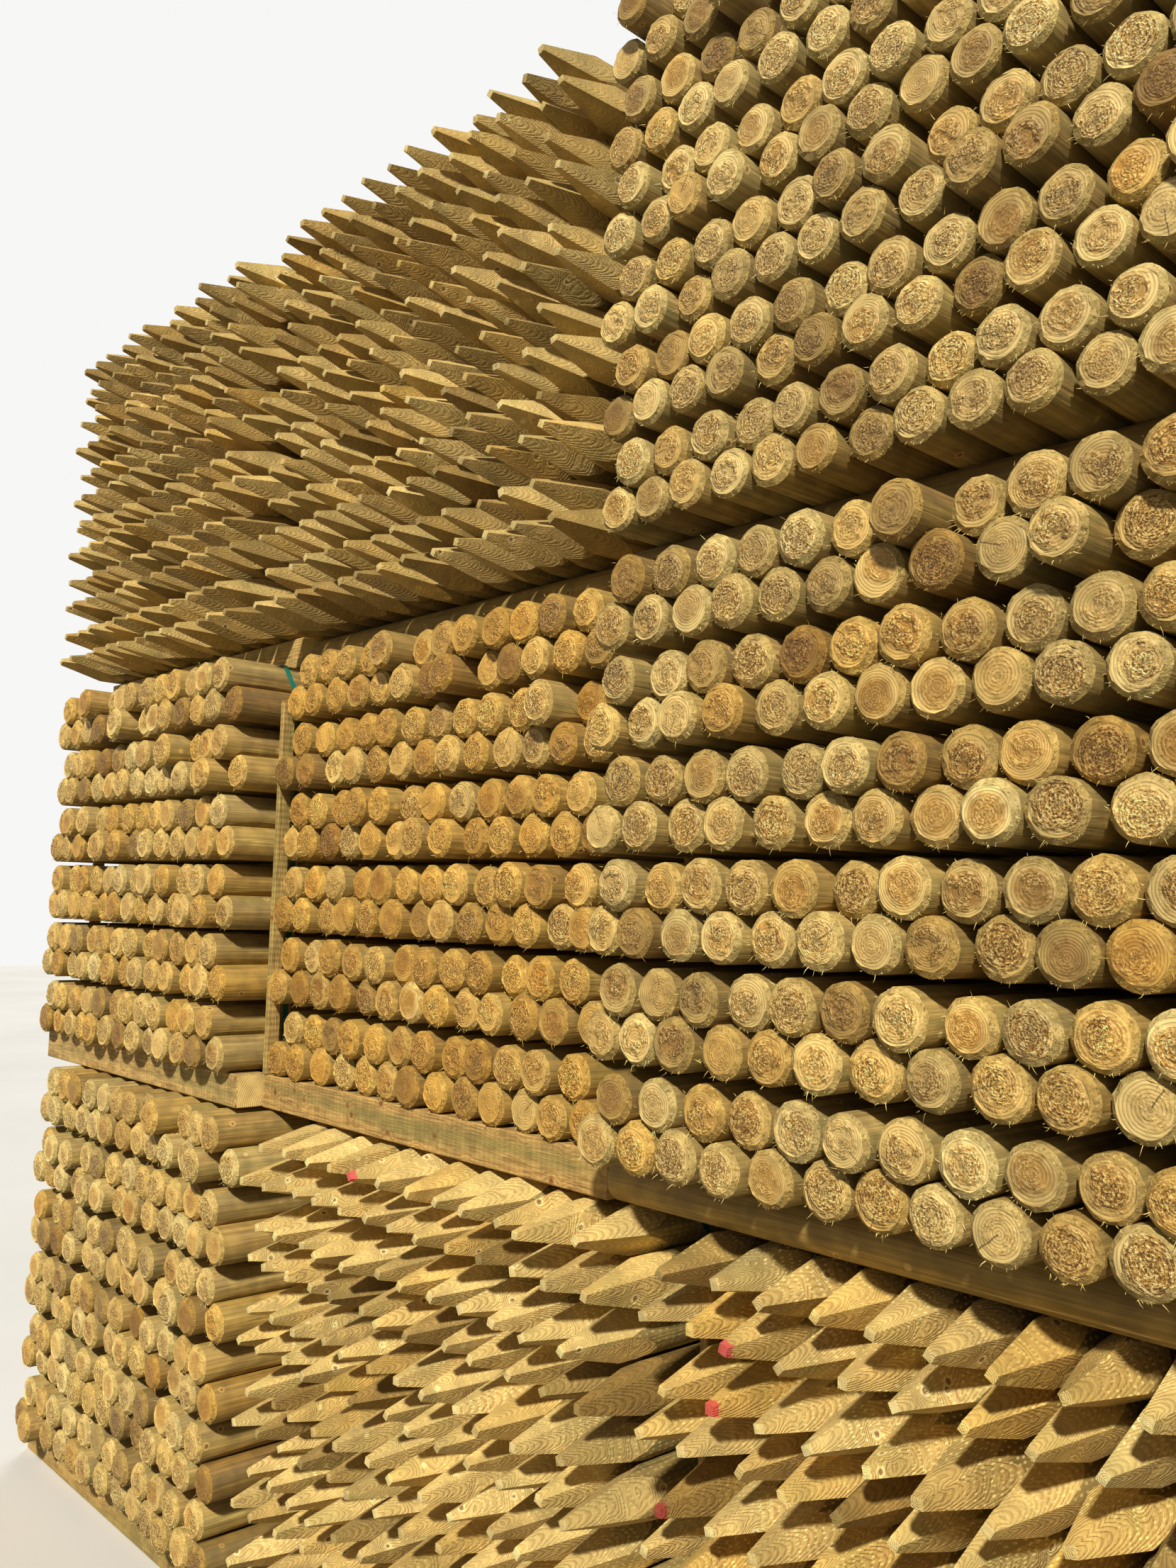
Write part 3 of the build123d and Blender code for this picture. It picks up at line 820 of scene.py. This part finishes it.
class POSTSTACK_OT_posts(bpy.types.Operator):
    """Models a few posts and torn fibres and lays copies of them where the packs' posts lie"""

    bl_idname = "poststack.posts"
    bl_label = "Posts"

    def execute(self, context):
        sizes, colours = context.scene.poststack_sizes, context.scene.poststack_colours
        dice = np.random.default_rng(POST_SEED)
        shapes = [model_post(sizes, dice) for number in range(sizes.shapes)]
        sliver_shapes = [model_sliver(dice) for number in range(SLIVER_SHAPES)]
        makers = (make_machine_rounded_softwood, make_saw_cut_softwood, make_bevelled_softwood,
                  make_hewn_softwood)
        materials = [shared_material(make, colours) for make in makers]
        sliver_wood = [shared_material(make_torn_softwood, colours)]
        for pack in PACKS:
            posts, slivers = pack_copies(pack, shapes, sliver_shapes, sizes)
            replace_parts(join_copies("wood_" + pack, posts, materials), "posts_" + pack)
            join_copies("slivers_" + pack, slivers, sliver_wood)
        return {"FINISHED"}


# Bearers, battens and laths

SAWN_FACE, SAWN_END = range(2)


def model_sawn(size, sizes):
    """A sawn timber about the origin, its length along Y, with worn edges."""
    obj = new_shape(bpy.ops.mesh.primitive_cube_add, size=1.0, scale=size)
    select(obj.data, "FACE", lambda face: True)
    bpy.ops.mesh.bevel(offset=sizes.sawn_edge, segments=1)
    bpy.ops.object.mode_set(mode="OBJECT")
    return take_shape(obj, lambda face: SAWN_END if abs(face.normal.y) > 0.9 else SAWN_FACE)


def model_round_bearer(size, sizes):
    """A round bearer about the origin, its length along Y, with a bevel round both ends."""
    obj = new_shape(bpy.ops.mesh.primitive_cylinder_add, vertices=2 * sizes.sides, radius=size[0] / 2,
                    depth=size[1], rotation=(math.pi / 2, 0, 0))
    mesh = obj.data
    select(mesh, "FACE", lambda face: abs(face.normal.y) > 0.9)
    bpy.ops.mesh.inset(thickness=RIM_WIDTH / 2, use_individual=True)
    inner = size[0] / 2 - RIM_WIDTH / 4
    for end in (-1, 1):
        select(mesh, "VERT", lambda at: at.co.y * end > 0 and math.hypot(at.co.x, at.co.z) > inner)
        bpy.ops.transform.translate(value=(0, -end * RIM_DEPTH / 2, 0))
    bpy.ops.object.mode_set(mode="OBJECT")
    for face in mesh.polygons:
        face.use_smooth = abs(face.normal.y) < 0.02

    def finish_of(face):
        if abs(face.normal.y) > 0.9:
            return BUTT
        return RIM if abs(face.normal.y) > 0.2 else SIDE

    return take_shape(obj, finish_of)


# The turns that lay a length along Y out along X, Y or Z
LAY_ALONG = (
    np.array([[0, 1, 0], [-1, 0, 0], [0, 0, 1]]),
    np.eye(3),
    np.array([[1, 0, 0], [0, 0, -1], [0, 1, 0]]),
)


def timber_copies(node, model, sizes, dice, looks, pith_away):
    """A copy of the modelled timber for each solid of a node, sized and laid as it is."""
    copies, models = [], {}
    for points in closed_solids(node):
        low, high = points.min(axis=0), points.max(axis=0)
        along = int(np.argmax(high - low))
        lay = LAY_ALONG[along]
        size = tuple(np.round(np.abs((high - low) @ lay), 5))
        if size not in models:
            models[size] = model(size, sizes)
        shape = models[size]
        placed = shape["points"] @ lay.T + (low + high) / 2
        angle = dice.uniform(0, 2 * math.pi)
        # Where in its tree the timber was cut from: beside the pith, and anywhere along 3 m
        pith = (math.cos(angle) * pith_away, 3 * dice.random(), math.sin(angle) * pith_away)
        grain = shape["points"] + pith
        copies.append((shape, placed, grain, own_tone(dice, *looks), (0.0, 0.0, dice.random())))
    return copies


class POSTSTACK_OT_bearers(bpy.types.Operator):
    """Replaces each bearer with a round post or a sawn timber"""

    bl_idname = "poststack.bearers"
    bl_label = "Bearers"

    def execute(self, context):
        sizes, colours = context.scene.poststack_sizes, context.scene.poststack_colours
        dice = np.random.default_rng(BEARER_SEED)
        makers = (make_machine_rounded_softwood, make_saw_cut_softwood, make_bevelled_softwood)
        round_wood = [shared_material(make, colours) for make in makers]
        makers = (make_rough_sawn_softwood, make_saw_cut_softwood)
        sawn_wood = [shared_material(make, colours) for make in makers]
        for pack in PACKS:
            for place in ("front", "rear"):
                node = f"bearer_{place}_{pack}"
                if len(closed_solids(node)[0]) > BOX_CORNERS:
                    copies = timber_copies(node, model_round_bearer, sizes, dice,
                                           ROUND_BEARER_LOOKS, ROUND_BEARER_PITH)
                    piece = join_copies("round_" + node, copies, round_wood)
                else:
                    copies = timber_copies(node, model_sawn, sizes, dice,
                                           SQUARED_BEARER_LOOKS, SQUARED_BEARER_PITH)
                    piece = join_copies("sawn_" + node, copies, sawn_wood)
                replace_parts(piece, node)
        return {"FINISHED"}


class POSTSTACK_OT_battens(bpy.types.Operator):
    """Replaces the upright battens and the laths with sawn timber"""

    bl_idname = "poststack.battens"
    bl_label = "Battens and laths"

    def execute(self, context):
        sizes, colours = context.scene.poststack_sizes, context.scene.poststack_colours
        dice = np.random.default_rng(BATTEN_SEED)
        makers = (make_rough_sawn_softwood, make_saw_cut_softwood)
        sawn_wood = [shared_material(make, colours) for make in makers]
        for pack in PACKS:
            for kind in ("battens", "laths"):
                node = f"{kind}_{pack}"
                copies = timber_copies(node, model_sawn, sizes, dice, BATTEN_LOOKS, BATTEN_PITH)
                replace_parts(join_copies("sawn_" + node, copies, sawn_wood), node)
        return {"FINISHED"}


class POSTSTACK_OT_straps(bpy.types.Operator):
    """Gives the straps their plastic"""

    bl_idname = "poststack.straps"
    bl_label = "Straps"

    def execute(self, context):
        plastic = shared_material(make_embossed_polyester, context.scene.poststack_colours)
        for pack in PACKS:
            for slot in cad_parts["straps_" + pack].material_slots:
                slot.material = plastic
        return {"FINISHED"}


# Stage, lights and camera


class POSTSTACK_OT_stage(bpy.types.Operator):
    """Lays the plain floor, sets the lights and places the camera"""

    bl_idname = "poststack.stage"
    bl_label = "Stage"

    def execute(self, context):
        colours = context.scene.poststack_colours
        bpy.ops.object.select_all(action="DESELECT")
        bpy.ops.mesh.primitive_plane_add(size=FLOOR_SIZE, location=(0, 0, 0))
        floor = context.active_object
        floor.name = "floor"
        floor.data.materials.append(shared_material(make_matt_floor_paint, colours))
        world = bpy.data.worlds.new("studio")
        context.scene.world = world
        world.use_nodes = True
        tree = world.node_tree
        tree.nodes.clear()
        seen = add(tree, "Background", {"Color": colours.background, "Strength": 1.0})
        given = add(tree, "Background", {"Color": colours.fill, "Strength": FILL_STRENGTH})
        both = add(tree, "MixShader", {0: looked_at(tree), 1: given.outputs[0], 2: seen.outputs[0]})
        add(tree, "OutputWorld", {"Surface": both.outputs[0]})
        place_light(context, "key", KEY_FROM, KEY_STRENGTH, KEY_SPREAD, colours.key)
        place_light(context, "back", BACK_FROM, BACK_STRENGTH, BACK_SPREAD, colours.fill)
        place_camera(context)
        context.scene.view_settings.view_transform = "Standard"
        return {"FINISHED"}


def place_light(context, name, towards, strength, spread, colour):
    """A far lamp that shines from one side, as broad as its spread."""
    data = bpy.data.lights.new(name, "SUN")
    data.energy = strength
    data.angle = math.radians(spread)
    data.color = colour
    light = bpy.data.objects.new(name, data)
    context.collection.objects.link(light)
    light.rotation_euler = Vector(towards).to_track_quat("Z", "Y").to_euler()


def place_camera(context):
    """The camera at the photograph's viewing angle."""
    turn, rise, tilt = (math.radians(angle) for angle in (CAMERA_TURN, CAMERA_RISE, CAMERA_TILT))
    ahead = Vector((-math.sin(turn) * math.cos(rise), math.cos(turn) * math.cos(rise), math.sin(rise)))
    level = Vector((math.cos(turn), math.sin(turn), 0))
    upright = level.cross(ahead)
    right = level * math.cos(tilt) + upright * math.sin(tilt)
    up = upright * math.cos(tilt) - level * math.sin(tilt)
    data = bpy.data.cameras.new("camera")
    data.sensor_width = SENSOR
    data.lens = SENSOR * CAMERA_FOCAL / PICTURE_HEIGHT
    data.clip_end = CAMERA_REACH
    camera = bpy.data.objects.new("camera", data)
    context.collection.objects.link(camera)
    axes = Matrix((right, up, -ahead)).transposed().to_4x4()
    place = Vector(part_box(CAMERA_FROM)[0]) + Vector(CAMERA_PLACE)
    camera.matrix_world = Matrix.Translation(place) @ axes
    context.scene.camera = camera


class POSTSTACK_PT_panel(bpy.types.Panel):
    """Lists what the stack is made of"""

    bl_idname = "POSTSTACK_PT_panel"
    bl_label = "Post Stack"
    bl_space_type = "VIEW_3D"
    bl_region_type = "UI"
    bl_category = "Post Stack"

    def draw(self, context):
        for operator in OPERATORS:
            self.layout.operator(operator.bl_idname)


OPERATORS = (POSTSTACK_OT_posts, POSTSTACK_OT_bearers, POSTSTACK_OT_battens, POSTSTACK_OT_straps,
             POSTSTACK_OT_stage)
CLASSES = (PostStackSizes, PostStackColours, *OPERATORS, POSTSTACK_PT_panel)


def register():
    for cls in CLASSES:
        bpy.utils.register_class(cls)
    bpy.types.Scene.poststack_sizes = PointerProperty(type=PostStackSizes)
    bpy.types.Scene.poststack_colours = PointerProperty(type=PostStackColours)


def unregister():
    del bpy.types.Scene.poststack_colours
    del bpy.types.Scene.poststack_sizes
    for cls in reversed(CLASSES):
        bpy.utils.unregister_class(cls)


def main():
    register()
    bpy.ops.poststack.posts()
    bpy.ops.poststack.bearers()
    bpy.ops.poststack.battens()
    bpy.ops.poststack.straps()
    bpy.ops.poststack.stage()


if __name__ == "__main__":
    main()
